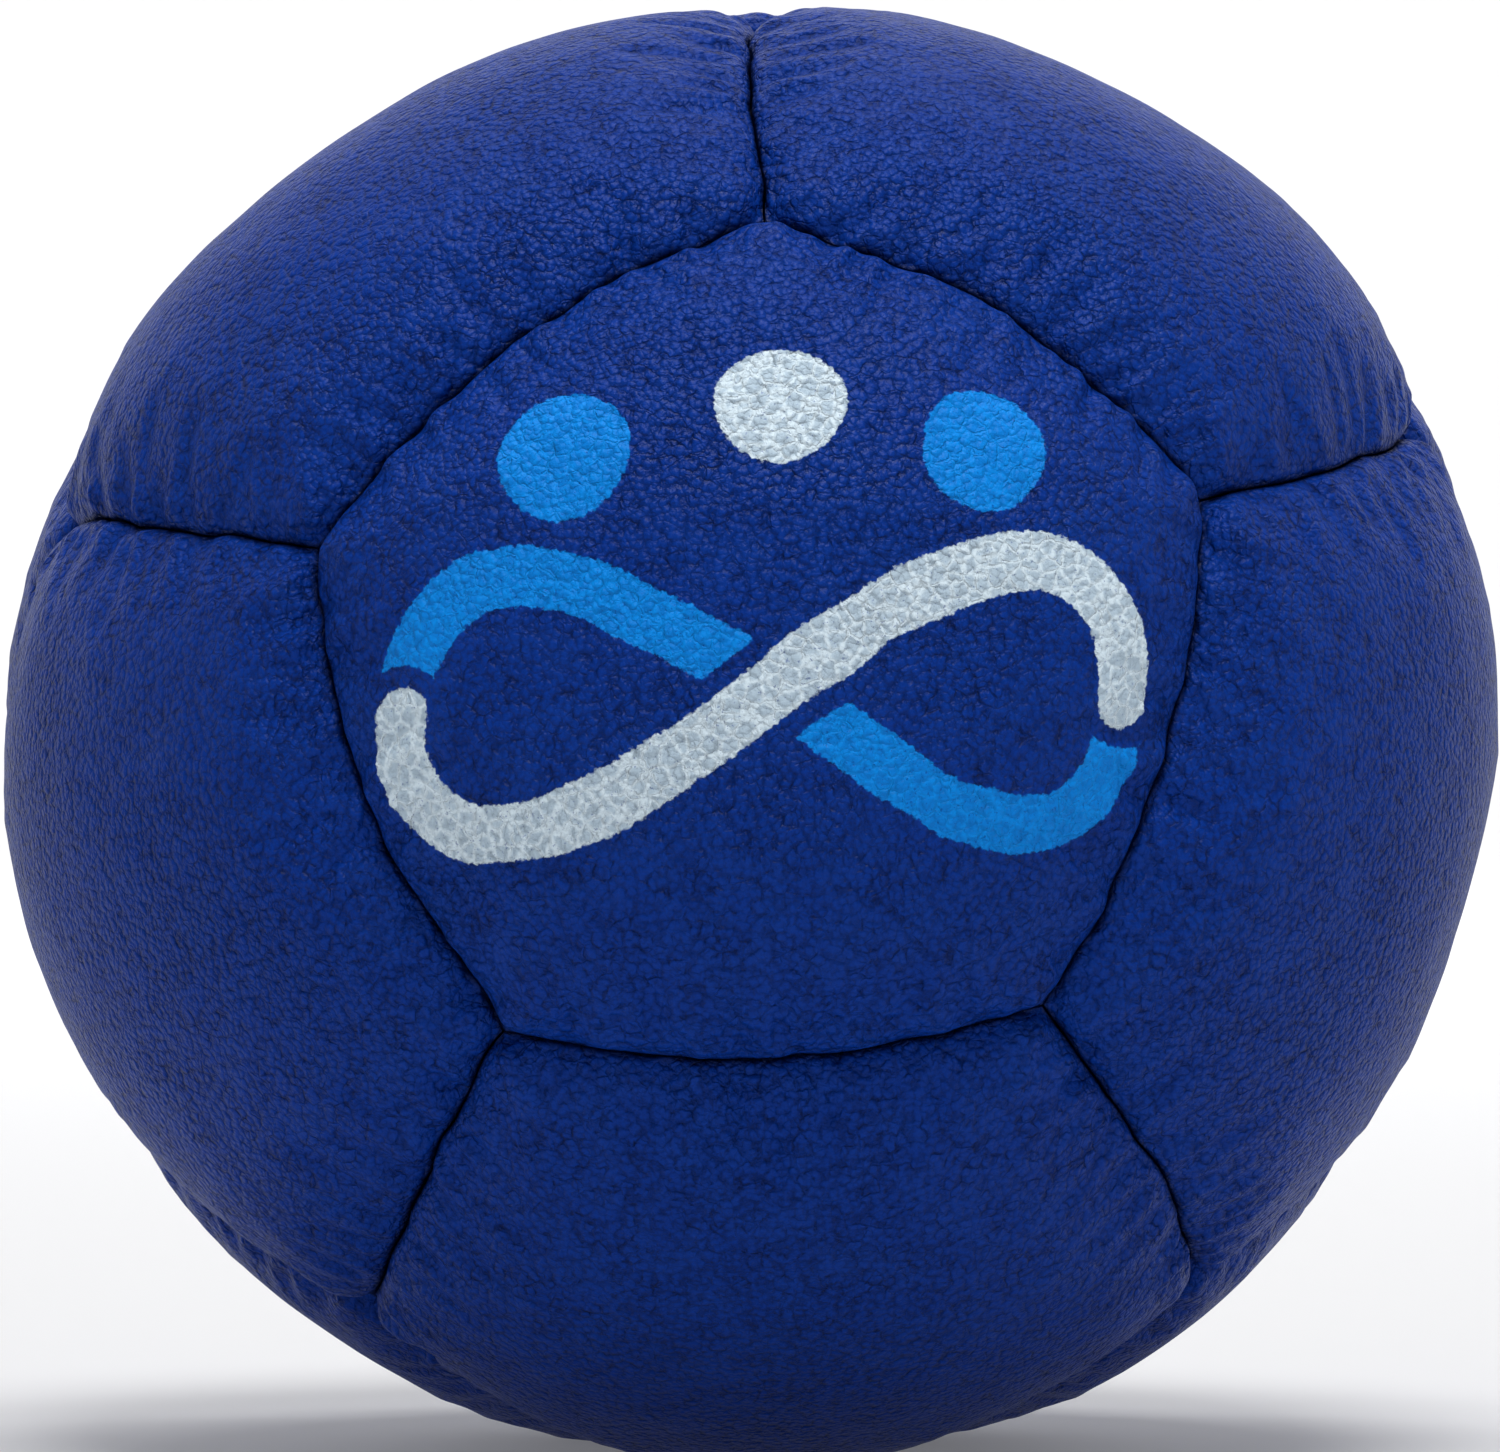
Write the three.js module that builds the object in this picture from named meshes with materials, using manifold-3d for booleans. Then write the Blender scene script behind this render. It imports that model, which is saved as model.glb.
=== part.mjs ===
// A stitched juggling ball: twelve five-sided leather panels sewn edge to edge over packed pellets.
// Millimetres, +Z up, the printed front panel faces -Y. The ball stands on its flattened underside,
// with the middle of that resting patch at the origin.
//
// Every piece is first shaped on a round ball about its centre, and settle() then turns it, lets it
// slump under its own weight and presses its underside flat, the same for every piece.

import * as THREE from "three";
import { mergeGeometries, mergeVertices } from "three/addons/utils/BufferGeometryUtils.js";
import Module from "manifold-3d";

// The ball
const crownDiameter = 67; // across the middles of two opposite panels
const slump = 0.975; // how far the weight flattens the whole ball, as a share of its round height
const pressedIn = 1.6; // how far the underside is pressed flat, below the crowns' sphere
const flattened = 0.5; // a dome that stays this near the floor lies flat on it too
const frontTilt = 7.1; // degrees that the front panel looks up
const frontRoll = 2.6; // degrees that the front panel is turned, counter-clockwise from the front
const frontTurn = 1.6; // degrees that the front panel is turned about the upright axis

// The leather
const leather = 1.2; // thickness
const panelCrown = 1.5; // rise of a panel's middle above the rim of its folded edge
const crownPower = 2.5; // above 1, a panel's middle is flatter and its sides fall away faster
const foldWidth = 2; // breadth of the rounded fold beside a seam
const foldDepth = 1.6; // depth of the groove between two folds
const seamAllowance = 3; // strip of each panel that is turned in behind the seam
const seamGap = 0.3; // between the two strips of one seam

// The stitching
const thread = 0.6; // thickness
const threadClearance = 0.15; // round the thread in its holes and along the leather
const stitchPitch = 3.6; // from one needle hole to the next
const cornerMargin = 2.2; // the least distance from a corner to a needle hole
const threadTail = 0.8; // length of thread past the last hole

// The filling
const fillingClearance = 0.3; // between the packed pellets and everything round them

// How finely the shapes are divided
const sideSteps = 4; // along each side of a panel
const domeShares = [0.4, 0.7, 0.8]; // rings between a panel's middle and its fold, 1 at the seam
const foldShares = [1, 0.6, 0.25]; // rings across the fold, as shares of its breadth
const insideShare = 0.6; // the ring between a panel's middle and its fold on the inside
const offsetSteps = 8; // steps taken to place a point at its distance from a seam

const leatherLook = { color: 0x1c2f96, roughness: 0.55, metalness: 0 };
const threadLook = { color: 0x0a0d1c, roughness: 0.8, metalness: 0 };
const pelletLook = { color: 0xe4e2da, roughness: 0.5, metalness: 0 };

const wasm = await Module();
wasm.setup();

const crownRadius = crownDiameter / 2;
const halfGap = seamGap / 2;
const turnedIn = halfGap + leather; // from the middle of a seam to the back of a turned-in strip

// The twelve panels sit as a regular dodecahedron's faces do, in rings round the front panel.
const faceAngle = Math.atan(2); // between the middles of two panels that share a seam
const innerCorner = Math.acos(Math.sqrt((5 + 2 * Math.sqrt(5)) / 15)); // front middle to its corners
const outerCorner = Math.acos(Math.sqrt((5 - 2 * Math.sqrt(5)) / 15)); // to the next ring of corners
const ownCornerCosine = 0.7; // a panel's own corners lie nearer its middle than this, all others not

function onBall(polar, clock) {
  // A direction, polar away from the front middle, and clockwise from the top as seen from the front.
  const out = Math.sin(polar);
  return new THREE.Vector3(out * Math.sin(clock), -Math.cos(polar), out * Math.cos(clock));
}

function ringOfFive(polar, firstClock) {
  return [0, 1, 2, 3, 4].map((step) => onBall(polar, firstClock + (step * 2 * Math.PI) / 5));
}

const corners = [
  ...ringOfFive(innerCorner, 0),
  ...ringOfFive(outerCorner, 0),
  ...ringOfFive(Math.PI - outerCorner, Math.PI / 5),
  ...ringOfFive(Math.PI - innerCorner, Math.PI / 5),
];

const frontRing = ["front_upper_right", "front_right", "front_bottom", "front_left", "front_upper_left"];
const backRing = ["back_top", "back_upper_right", "back_lower_right", "back_lower_left", "back_upper_left"];
const frontRingMiddles = ringOfFive(faceAngle, Math.PI / 5);
const backRingMiddles = ringOfFive(Math.PI - faceAngle, 0);

function makePanel(name, middle) {
  // A panel with its five corners' numbers in order round its middle, counter-clockwise from outside.
  const isOwn = (corner) => corner.dot(middle) > ownCornerCosine;
  const across = corners.find(isOwn);
  const right = across.clone().addScaledVector(middle, -across.dot(middle)).normalize();
  const up = middle.clone().cross(right);
  const turnOf = (number) => Math.atan2(corners[number].dot(up), corners[number].dot(right));
  const round = corners.map((corner, number) => number).filter((number) => isOwn(corners[number]));
  round.sort((one, other) => turnOf(one) - turnOf(other));
  return { name, middle, round };
}

const panels = [
  makePanel("front", onBall(0, 0)),
  ...frontRing.map((name, step) => makePanel(name, frontRingMiddles[step])),
  ...backRing.map((name, step) => makePanel(name, backRingMiddles[step])),
  makePanel("back", onBall(Math.PI, 0)),
];

function findSeams() {
  // Two panels with two corners in common share a seam.
  const seams = [];
  panels.forEach((one, number) => {
    panels.slice(number + 1).forEach((other) => {
      const ends = one.round.filter((corner) => other.round.includes(corner));
      if (ends.length === 2) {
        seams.push({ name: `${one.name}_to_${other.name}`, panels: [one, other], ends });
      }
    });
  });
  return seams;
}

const seams = findSeams();

function seamShare(direction) {
  // 0 at the middle of a panel and 1 on its seams, straight lines between the two seen from the centre.
  const facing = panels.map((panel) => panel.middle.dot(direction));
  facing.sort((one, other) => other - one);
  return ((Math.sqrt(5) * facing[1]) / facing[0] - 1) / (Math.sqrt(5) - 1);
}

const middleToSeam = crownRadius * Math.sin(faceAngle / 2);
const foldShare = 1 - foldWidth / middleToSeam;

function domeRadius(direction) {
  // The ball without its grooves: a shallow dome on each panel.
  return crownRadius - panelCrown * Math.max(seamShare(direction), 0) ** crownPower;
}

function outerRadius(direction) {
  // The dome, and beside each seam a quarter-round fold.
  const along = (Math.min(seamShare(direction), 1) - foldShare) / (1 - foldShare);
  return domeRadius(direction) - foldDepth * (1 - Math.sqrt(1 - Math.max(0, along) ** 2));
}

const grooveRadius = crownRadius - panelCrown - foldDepth / 2; // where the two folds meet
const stripEnd = grooveRadius - seamAllowance; // raw edges of the turned-in strips

function chordPoint(first, last, share) {
  // On the straight line between two corners, the same from either panel that shares it.
  if (first > last) {
    return chordPoint(last, first, 1 - share);
  }
  return corners[first].clone().lerp(corners[last], share);
}

function outlineOf(panel) {
  // The panel's outline as points on the straight lines between its corners.
  const outline = [];
  panel.round.forEach((corner, side) => {
    const next = panel.round[(side + 1) % 5];
    for (let step = 0; step < sideSteps; step++) {
      outline.push(chordPoint(corner, next, step / sideSteps));
    }
  });
  return outline;
}

const flatMiddle = Math.cos(innerCorner); // centre of the ball to the plane through a panel's corners
const flatToSeam = flatMiddle * Math.sin(faceAngle / 2); // that plane's middle to a seam's own plane

function pointOnFlat(panel, edge, share) {
  return panel.middle.clone().multiplyScalar(flatMiddle).lerp(edge, share);
}

function ringByShare(panel, share, radiusOf) {
  // A ring of points at one share of the way from the panel's middle to its seams.
  return outlineOf(panel).map((edge) => {
    const direction = pointOnFlat(panel, edge, share).normalize();
    return direction.multiplyScalar(radiusOf(direction));
  });
}

function ringByOffset(panel, offset, radiusOf) {
  // A ring of points at one distance from the planes of the panel's seams, closed in on by steps.
  return outlineOf(panel).map((edge) => {
    const point = edge.clone();
    for (let step = 0; step < offsetSteps; step++) {
      const radius = radiusOf(point.clone().normalize());
      const share = 1 - (offset * point.length()) / (flatToSeam * radius);
      point.copy(pointOnFlat(panel, edge, share));
    }
    const direction = point.normalize();
    return direction.multiplyScalar(radiusOf(direction));
  });
}

function skin(rings, firstMiddle, lastMiddle) {
  // Triangles over rings of points, closed by a fan to a middle point at either end that has one.
  // Without a last middle the squares are split the other way, as the inside of a panel has them.
  const count = rings[0].length;
  const points = rings.flat();
  const faces = [];
  for (let row = 0; row + 1 < rings.length; row++) {
    for (let step = 0; step < count; step++) {
      const near = row * count + step;
      const beside = row * count + ((step + 1) % count);
      if (lastMiddle) {
        faces.push(near, near + count, beside);
        faces.push(beside, near + count, beside + count);
      } else {
        faces.push(near, near + count, beside + count);
        faces.push(near, beside + count, beside);
      }
    }
  }
  if (firstMiddle) {
    const middle = points.push(firstMiddle) - 1;
    for (let step = 0; step < count; step++) {
      faces.push(middle, step, (step + 1) % count);
    }
  }
  if (lastMiddle) {
    const middle = points.push(lastMiddle) - 1;
    const start = (rings.length - 1) * count;
    for (let step = 0; step < count; step++) {
      faces.push(middle, start + ((step + 1) % count), start + step);
    }
  }
  const geometry = new THREE.BufferGeometry().setFromPoints(points);
  geometry.setIndex(faces);
  return geometry;
}

const backOfLeather = (direction) => outerRadius(direction) - leather;
const threadRun = turnedIn + threadClearance + thread / 2; // seam's middle to a run of thread
const channelHalf = threadRun + thread / 2 + fillingClearance; // seam's middle to the pellets

function panelGeometry(panel) {
  // Out over the dome, down the fold and the turned-in strip, and back along the inside.
  const rings = [
    ...domeShares.map((share) => ringByShare(panel, share, outerRadius)),
    ...foldShares.map((share) => ringByOffset(panel, share * foldWidth, outerRadius)),
    ringByOffset(panel, halfGap, () => grooveRadius),
    ringByOffset(panel, halfGap, () => stripEnd),
    ringByOffset(panel, turnedIn, () => stripEnd),
    ringByOffset(panel, turnedIn, backOfLeather),
    ringByOffset(panel, channelHalf, backOfLeather),
    ringByShare(panel, insideShare, backOfLeather),
  ];
  const top = panel.middle.clone().multiplyScalar(outerRadius(panel.middle));
  const under = panel.middle.clone().multiplyScalar(backOfLeather(panel.middle));
  return skin(rings, top, under);
}

// The stitch line runs halfway down the turned-in strips, behind the leather.
const stripTop = crownRadius - panelCrown - leather;
const stitchRadius = (stripTop + stripEnd) / 2;
const cornerToCorner = 2 * Math.asin(corners[0].distanceTo(corners[1]) / 2);
const stitchLine = stitchRadius * cornerToCorner;
const holesPerSeam = 1 + Math.floor((stitchLine - 2 * cornerMargin) / stitchPitch);
const holePlaces = Array.from({ length: holesPerSeam }, (_, hole) => {
  return (hole - (holesPerSeam - 1) / 2) * stitchPitch;
});
const holeSide = thread + 2 * threadClearance;

function alongSeam(seam, geometry) {
  // Bends a shape onto the stitch line: x runs along the seam, y across it and z outwards.
  const [first, last] = seam.ends.map((number) => corners[number]);
  const out = first.clone().add(last).normalize();
  const along = last.clone().sub(first).normalize();
  const across = out.clone().cross(along);
  const place = geometry.getAttribute("position");
  for (let i = 0; i < place.count; i++) {
    const angle = place.getX(i) / stitchRadius;
    const radius = stitchRadius + place.getZ(i);
    const point = out.clone().multiplyScalar(radius * Math.cos(angle));
    point.addScaledVector(along, radius * Math.sin(angle));
    point.addScaledVector(across, place.getY(i));
    place.setXYZ(i, point.x, point.y, point.z);
  }
  return geometry;
}

function weld(geometry) {
  geometry.deleteAttribute("normal");
  geometry.deleteAttribute("uv");
  return mergeVertices(geometry);
}

function needleHoles(panel) {
  // Square prisms through the turned-in strips of the panel's five seams.
  const prisms = [];
  seams.filter((seam) => seam.panels.includes(panel)).forEach((seam) => {
    holePlaces.forEach((x) => {
      const prism = new THREE.BoxGeometry(holeSide, 4 * turnedIn, holeSide);
      prisms.push(alongSeam(seam, weld(prism.translate(x, 0, 0))));
    });
  });
  return mergeGeometries(prisms);
}

function threadGeometry(seam) {
  // A running stitch: along the leather to a hole, through both strips, along to the next, and so on.
  const route = [new THREE.Vector2(holePlaces[0] - threadTail, threadRun)];
  holePlaces.forEach((x, hole) => {
    const side = hole % 2 === 0 ? threadRun : -threadRun;
    route.push(new THREE.Vector2(x, side), new THREE.Vector2(x, -side));
  });
  route.push(route[route.length - 1].clone().setX(holePlaces[holesPerSeam - 1] + threadTail));

  const left = [];
  const right = [];
  route.forEach((point, stop) => {
    const before = point.clone().sub(route[stop - 1] ?? point).normalize();
    const after = (route[stop + 1] ?? point).clone().sub(point).normalize();
    const heading = before.add(after);
    const sideways = new THREE.Vector2(-heading.y, heading.x).multiplyScalar(thread / 2);
    left.push(point.clone().add(sideways));
    right.push(point.clone().sub(sideways));
  });
  const shape = new THREE.Shape([...left, ...right.reverse()]);
  const cord = new THREE.ExtrudeGeometry(shape, { depth: thread, bevelEnabled: false });
  return alongSeam(seam, weld(cord.translate(0, 0, -thread / 2)));
}

function fillingGeometry() {
  // The packed pellets swell into each panel and leave a channel round every seam's strips.
  const swell = (direction) => backOfLeather(direction) - fillingClearance;
  const channelEnd = () => stripEnd - fillingClearance;
  const caps = panels.map((panel) => {
    const rings = [
      ringByShare(panel, insideShare, swell),
      ringByOffset(panel, channelHalf, swell),
      ringByOffset(panel, channelHalf, channelEnd),
      ringByOffset(panel, 0, channelEnd),
    ];
    return skin(rings, panel.middle.clone().multiplyScalar(swell(panel.middle)));
  });
  return mergeVertices(mergeGeometries(caps));
}

const degrees = Math.PI / 180;
const stance = new THREE.Euler(-frontTilt * degrees, -frontRoll * degrees, frontTurn * degrees);
const floorLevel = -slump * (crownRadius - pressedIn);
const pressedRadius = crownRadius - panelCrown / 2;
const samePlace = 0.001;

function settle(geometry) {
  // Turns the ball to its stance, flattens it by its slump and presses its underside in. The floor
  // lifts a plain sphere, what is inside moves by its share of that, and the domes there lie flat.
  const place = geometry.getAttribute("position");
  const point = new THREE.Vector3();
  for (let i = 0; i < place.count; i++) {
    point.fromBufferAttribute(place, i);
    const onDome = point.length() > domeRadius(point.clone().normalize()) - samePlace;
    const depthShare = point.length() / pressedRadius;
    point.applyEuler(stance);
    point.z *= slump;
    const lift = Math.max(0, floorLevel - point.z / depthShare);
    const height = point.z + lift * depthShare - floorLevel;
    point.z = onDome && height < flattened ? 0 : Math.max(height, 0);
    place.setXYZ(i, point.x, point.y, point.z);
  }
  geometry.computeVertexNormals();
  return geometry;
}

function toSolid(geometry) {
  const place = geometry.getAttribute("position");
  return new wasm.Manifold(new wasm.Mesh({
    numProp: 3,
    vertProperties: new Float32Array(place.array),
    triVerts: new Uint32Array(geometry.getIndex().array),
  }));
}

function fromSolid(solid) {
  const mesh = solid.getMesh();
  const geometry = new THREE.BufferGeometry();
  geometry.setAttribute("position", new THREE.BufferAttribute(new Float32Array(mesh.vertProperties), 3));
  geometry.setIndex(new THREE.BufferAttribute(new Uint32Array(mesh.triVerts), 1));
  return geometry;
}

const ball = new THREE.Group();

function addPiece(name, geometry, look) {
  const mesh = new THREE.Mesh(settle(geometry), new THREE.MeshStandardMaterial(look));
  mesh.name = name;
  ball.add(mesh);
}

panels.forEach((panel) => {
  const pierced = toSolid(panelGeometry(panel)).subtract(toSolid(needleHoles(panel)));
  addPiece(`panel_${panel.name}`, fromSolid(pierced), leatherLook);
});
seams.forEach((seam) => addPiece(`thread_${seam.name}`, threadGeometry(seam), threadLook));
addPiece("filling", fillingGeometry(), pelletLook);

export default ball;
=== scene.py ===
import bmesh
import bpy
import numpy as np
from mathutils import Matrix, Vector


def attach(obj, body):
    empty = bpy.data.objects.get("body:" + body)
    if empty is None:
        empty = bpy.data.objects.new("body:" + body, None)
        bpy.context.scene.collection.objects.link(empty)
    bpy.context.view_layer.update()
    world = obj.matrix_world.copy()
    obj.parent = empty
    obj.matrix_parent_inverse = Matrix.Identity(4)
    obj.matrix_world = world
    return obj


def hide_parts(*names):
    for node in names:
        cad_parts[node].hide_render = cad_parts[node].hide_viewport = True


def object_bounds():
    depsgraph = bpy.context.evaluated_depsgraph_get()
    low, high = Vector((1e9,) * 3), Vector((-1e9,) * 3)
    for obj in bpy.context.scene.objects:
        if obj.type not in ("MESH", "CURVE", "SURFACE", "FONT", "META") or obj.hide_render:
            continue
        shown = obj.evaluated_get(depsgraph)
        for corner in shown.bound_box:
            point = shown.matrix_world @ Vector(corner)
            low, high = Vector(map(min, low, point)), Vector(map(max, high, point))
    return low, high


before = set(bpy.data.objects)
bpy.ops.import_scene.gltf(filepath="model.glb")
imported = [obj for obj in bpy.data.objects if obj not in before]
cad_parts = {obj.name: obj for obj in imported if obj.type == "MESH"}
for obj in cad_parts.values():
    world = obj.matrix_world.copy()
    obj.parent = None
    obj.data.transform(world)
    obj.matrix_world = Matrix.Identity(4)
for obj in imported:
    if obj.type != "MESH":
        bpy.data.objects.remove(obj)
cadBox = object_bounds()
millimetre = 0.001

ball = {
    "crownDiameter": 67.0,  # across the middles of two opposite panels
    "slump": 0.975,  # standing height as a share of the round one
    "pressedIn": 1.6,  # how far the underside is pressed flat
    "pressedBelowCrown": 0.75,  # the sphere that the floor lifts, below the crowns
    "frontTilt": 7.1,  # degrees that the front panel looks up
    "frontRoll": 2.6,  # degrees counter-clockwise from the front
    "frontTurn": 1.6,  # degrees about the upright axis
    "wander": 0.30,  # how far hand sewing lets the seams wander
    "wanderLength": 7.0,
    "lean": 0.25,  # and the whole panels
    "leanLength": 26.0,
    "jitter": 0.15,  # and the finest unevenness of a seam
    "jitterLength": 2.2,
    "pullReach": 8.0,  # how far round a corner its pull is felt
    # how far each corner was sewn to the right and up of its even place, in the front's two rings
    "pulls": (
        (0.9, -0.5), (0.0, 0.35), (-0.65, 0.15), (-0.2, 0.0), (-0.2, -0.3),
        (1.6, 0.6), (-1.2, 1.7), (-0.2, -0.4), (1.1, 0.3), (0.2, 0.1),
    ),
    "bows": (1.15, 0.6, 0.9, 1.3, 1.1),  # how far the front panel's sides swell out, clockwise
    "bowReach": 6.0,
    # where the filling leaves the ball less round: degrees up from the right, and how deep
    "dents": (
        (64, 0.9), (110, 0.75), (128, 1.45), (142, 0.45), (163, 0.75), (207, 0.4), (238, 0.7),
        (316, 0.55), (344, 1.35),
    ),
    "dentReach": 7.5,
    "restEase": 0.12,  # how gently the underside meets the floor
}

crownRadius = ball["crownDiameter"] / 2
faceAngle = np.arctan(2.0)
innerCorner = np.arccos(np.sqrt((5 + 2 * np.sqrt(5)) / 15))
outerCorner = np.arccos(np.sqrt((5 - 2 * np.sqrt(5)) / 15))
flatMiddle = np.cos(innerCorner)
flatToSeam = flatMiddle * np.sin(faceAngle / 2)
reach = crownRadius * np.sin(faceAngle / 2)
ownCornerCosine = 0.7  # a panel's own corners lie nearer its middle than this, all others farther
neighbourCosines = (0.3, 0.6)  # and its neighbours' middles between these


def unit(vectors):
    # each vector over its own length
    return vectors / np.linalg.norm(vectors, axis=-1, keepdims=True)


def onBall(polar, clock):
    # the direction polar away from the front middle and clockwise from the top, seen from the front
    out = np.sin(polar)
    return np.stack([out * np.sin(clock), -np.cos(polar) + 0 * clock, out * np.cos(clock)], axis=-1)


def ringOfFive(polar, firstClock):
    # five directions a fifth of a turn apart
    return onBall(polar, firstClock + np.arange(5) * 2 * np.pi / 5)


corners = np.concatenate([
    ringOfFive(innerCorner, 0.0),
    ringOfFive(outerCorner, 0.0),
    ringOfFive(np.pi - outerCorner, np.pi / 5),
    ringOfFive(np.pi - innerCorner, np.pi / 5),
])
middles = np.concatenate([
    onBall(0.0, np.zeros(1)),
    ringOfFive(faceAngle, np.pi / 5),
    ringOfFive(np.pi - faceAngle, 0.0),
    onBall(np.pi, np.zeros(1)),
])
panelNames = [
    "front",
    "front_upper_right", "front_right", "front_bottom", "front_left", "front_upper_left",
    "back_top", "back_upper_right", "back_lower_right", "back_lower_left", "back_upper_left",
    "back",
]


def hashed(cell, seed):
    # a number from -1 to 1 for each whole-numbered cell, by multiplying and folding its three numbers
    a = cell.astype(np.int64)
    h = a[..., 0] * 73856093 ^ a[..., 1] * 19349663 ^ a[..., 2] * 83492791 ^ np.int64(seed * 2654435761)
    h = (h ^ (h >> 13)) * 1274126177 & 0x7FFFFFFF
    h = (h ^ (h >> 16)) * 668265263 & 0x7FFFFFFF
    return (h ^ (h >> 11) & 0x7FFFFFFF) / float(0x40000000) - 1.0


def softNoise(points, size, seed):
    # random values on a cubic grid of this size, joined by smooth steps along each axis
    place = points / size + 101.7
    cell = np.floor(place)
    part = place - cell
    part = part * part * part * (part * (part * 6 - 15) + 10)
    total = 0.0
    for corner in np.ndindex(2, 2, 2):
        offset = np.array(corner)
        weight = np.prod(np.where(offset == 1, part, 1 - part), axis=-1)
        total = total + weight * hashed(cell + offset, seed)
    return total


def wandering(points):
    # every point slides sideways by noise read where its own direction meets the crowns' sphere,
    # so that pieces on the two sides of a seam and under it stay together
    direction = unit(points)
    where = direction * crownRadius
    slide = 0.0
    for size, amount, seed in (
        (ball["wanderLength"], ball["wander"], 11),
        (ball["leanLength"], ball["lean"], 31),
        (ball["jitterLength"], ball["jitter"], 51),
    ):
        three = [softNoise(where, size, seed + axis) for axis in range(3)]
        slide = slide + amount * np.stack(three, axis=-1)
    for corner, (right, up) in zip(corners, ball["pulls"]):
        away = np.linalg.norm(where - corner * crownRadius, axis=-1, keepdims=True)
        slide = slide + np.array([right, 0.0, up]) * np.exp(-(away / ball["pullReach"]) ** 2 / 2)
    frontMiddle = middles[0]
    for side, bow in enumerate(ball["bows"]):
        sideMiddle = unit(corners[side] + corners[(side + 1) % 5])
        outward = unit(sideMiddle - frontMiddle * (sideMiddle @ frontMiddle))
        away = np.linalg.norm(where - sideMiddle * crownRadius, axis=-1, keepdims=True)
        slide = slide + bow * outward * np.exp(-(away / ball["bowReach"]) ** 2 / 2)
    slide = slide - direction * np.sum(slide * direction, axis=-1, keepdims=True)
    return points + slide * np.linalg.norm(points, axis=-1, keepdims=True) / crownRadius


def turned(points):
    # the ball's own turns about X, Y and Z, in that order of nesting
    a, b, c = np.radians([-ball["frontTilt"], -ball["frontRoll"], ball["frontTurn"]])
    aboutX = np.array([[1, 0, 0], [0, np.cos(a), -np.sin(a)], [0, np.sin(a), np.cos(a)]])
    aboutY = np.array([[np.cos(b), 0, np.sin(b)], [0, 1, 0], [-np.sin(b), 0, np.cos(b)]])
    aboutZ = np.array([[np.cos(c), -np.sin(c), 0], [np.sin(c), np.cos(c), 0], [0, 0, 1]])
    return points @ (aboutX @ aboutY @ aboutZ).T


floorLevel = -ball["slump"] * (crownRadius - ball["pressedIn"])


def settle(points, leastHeight=0.0):
    # turned, dented and slumped, then lifted as much as the floor lifts a plain sphere, in proportion
    # to the point's own radius; what would still sink below leastHeight eases onto it, along the
    # smooth curve (h + root of h squared and ease squared) / 2
    shifted = wandering(points)
    share = np.linalg.norm(shifted, axis=-1) / (crownRadius - ball["pressedBelowCrown"])
    placed = turned(shifted)
    direction = unit(placed)
    dent = 0.0
    for turn, depth in ball["dents"]:
        towards = np.array([np.cos(np.radians(turn)), 0.0, np.sin(np.radians(turn))])
        away = np.linalg.norm(direction - towards, axis=-1, keepdims=True) * crownRadius
        dent = dent + depth * np.exp(-(away / ball["dentReach"]) ** 2 / 2)
    placed = placed * (1 - dent / crownRadius)
    placed[:, 2] *= ball["slump"]
    lift = np.maximum(0.0, floorLevel - placed[:, 2] / share)
    height = placed[:, 2] + lift * share - floorLevel - leastHeight
    ease = ball["restEase"]
    placed[:, 2] = leastHeight + 0.5 * (height + np.sqrt(height * height + ease * ease)) - ease * ease / 4
    placed[:, 2] = np.maximum(placed[:, 2], leastHeight)
    return placed


def makeMesh(name, points, faces, marks=None):
    # one mesh object from points in millimetres and a list of face arrays, each with its own count
    # of corners; marks are numbers kept on the points for the materials
    mesh = bpy.data.meshes.new(name)
    mesh.vertices.add(len(points))
    mesh.vertices.foreach_set("co", (points * millimetre).astype(np.float32).ravel())
    sizes = np.concatenate([np.full(len(group), group.shape[1]) for group in faces])
    mesh.loops.add(int(sizes.sum()))
    mesh.loops.foreach_set("vertex_index", np.concatenate([g.ravel() for g in faces]).astype(np.int32))
    mesh.polygons.add(len(sizes))
    starts = np.concatenate([[0], np.cumsum(sizes)[:-1]])
    mesh.polygons.foreach_set("loop_start", starts.astype(np.int32))
    mesh.polygons.foreach_set("use_smooth", np.ones(len(sizes), dtype=bool))
    for mark, values in (marks or {}).items():
        layer = mesh.attributes.new(mark, "FLOAT", "POINT")
        layer.data.foreach_set("value", values.astype(np.float32))
    mesh.update(calc_edges=True)
    mesh.validate()
    piece = bpy.data.objects.new(name, mesh)
    bpy.context.scene.collection.objects.link(piece)
    return piece


# The leather panels

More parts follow.
